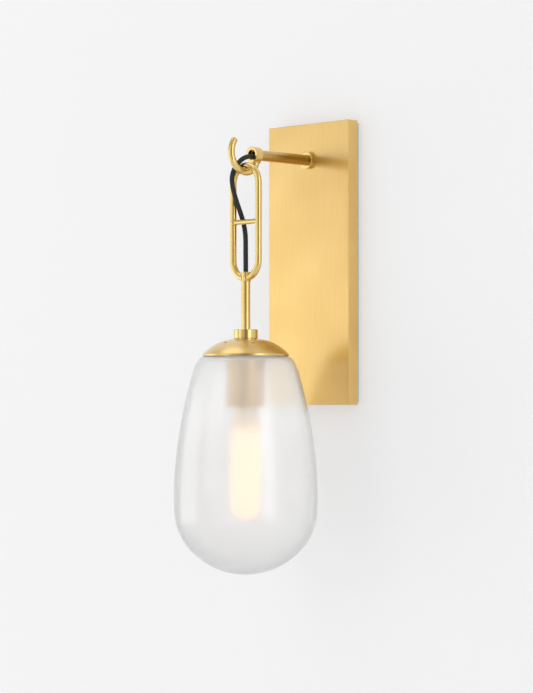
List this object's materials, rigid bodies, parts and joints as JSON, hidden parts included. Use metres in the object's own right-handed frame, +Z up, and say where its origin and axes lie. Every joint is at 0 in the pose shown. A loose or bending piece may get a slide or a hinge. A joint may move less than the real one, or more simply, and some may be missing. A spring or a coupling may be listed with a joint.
{
  "type": "wall sconce",
  "caption": "Wall sconce: a tall brass plate and short arm with a hook, from which a long link, stem and dome hang an egg-shaped frosted glass shade over a tubular bulb.",
  "frame": {"origin": "middle of the two junction-box screws, on the wall plane, at the middle of the tall plate", "axes": "+Z up along the plate's height, +X to the right seen from the room, +Y into the wall; the light stands out towards -Y"},
  "size_m": [0.1512, 0.1879, 0.483],
  "materials": {
    "brushed_brass": "satin brushed, aged and lacquered",
    "zinc_steel": "zinc-plated sheet and fasteners",
    "frosted_glass": "etched outside",
    "bulb_glass": "clear, lit warm inside",
    "cord_braid": "braided black textile",
    "moulded_black": "moulded, matt",
    "silicone": "soft, matt",
    "filament_glow": "glowing",
    "bulb_metal": "rolled bright",
    "ceramic": "glazed insulator"
  },
  "bodies": {
    "wall_fixture": {"mounting_pan": "zinc_steel", "ground_screw": "zinc_steel", "backplate_cover": "brushed_brass", "cover_screws": "zinc_steel", "arm_flange": "brushed_brass", "arm_tube": "brushed_brass", "arm_washer": "zinc_steel", "arm_nut": "zinc_steel", "end_collar": "brushed_brass", "hook": "brushed_brass", "arm_cord": "cord_braid"},
    "pendant": {"link_rod": "brushed_brass", "link_crossbar": "brushed_brass", "stem_tube": "brushed_brass", "stem_collar": "brushed_brass", "dome_cap": "brushed_brass", "dome_washer": "zinc_steel", "dome_nut": "zinc_steel", "fitter_ring": "brushed_brass", "neck_gasket": "silicone", "socket_cup": "brushed_brass", "cup_washer": "zinc_steel", "cup_nut": "zinc_steel", "lamp_socket": "moulded_black", "socket_shell": "bulb_metal", "socket_contact": "brushed_brass", "stem_cord": "cord_braid", "hanging_cord": "cord_braid"},
    "shade": {"glass_shade": "frosted_glass"},
    "bulb": {"bulb_glass": "bulb_glass", "bulb_base": "bulb_metal", "bulb_insulator": "moulded_black", "bulb_tip": "bulb_metal", "bulb_mount": "bulb_glass", "bulb_filament": "filament_glow"}
  },
  "joints": [
    {"name": "pendant_swing", "type": "hinge", "parent": "wall_fixture", "child": "pendant", "pos_m": [0, -0.1123, 0.0931], "axis": [0, 1, 0], "range_deg": [-20, 20], "deforming": ["hanging_cord"]},
    {"name": "shade_drop", "type": "slide", "parent": "pendant", "child": "shade", "axis": [0, 0, -1], "range_m": [0, 0.19]},
    {"name": "bulb_draw", "type": "slide", "parent": "pendant", "child": "bulb", "axis": [0, 0, -1], "range_m": [0, 0.03]}
  ]
}
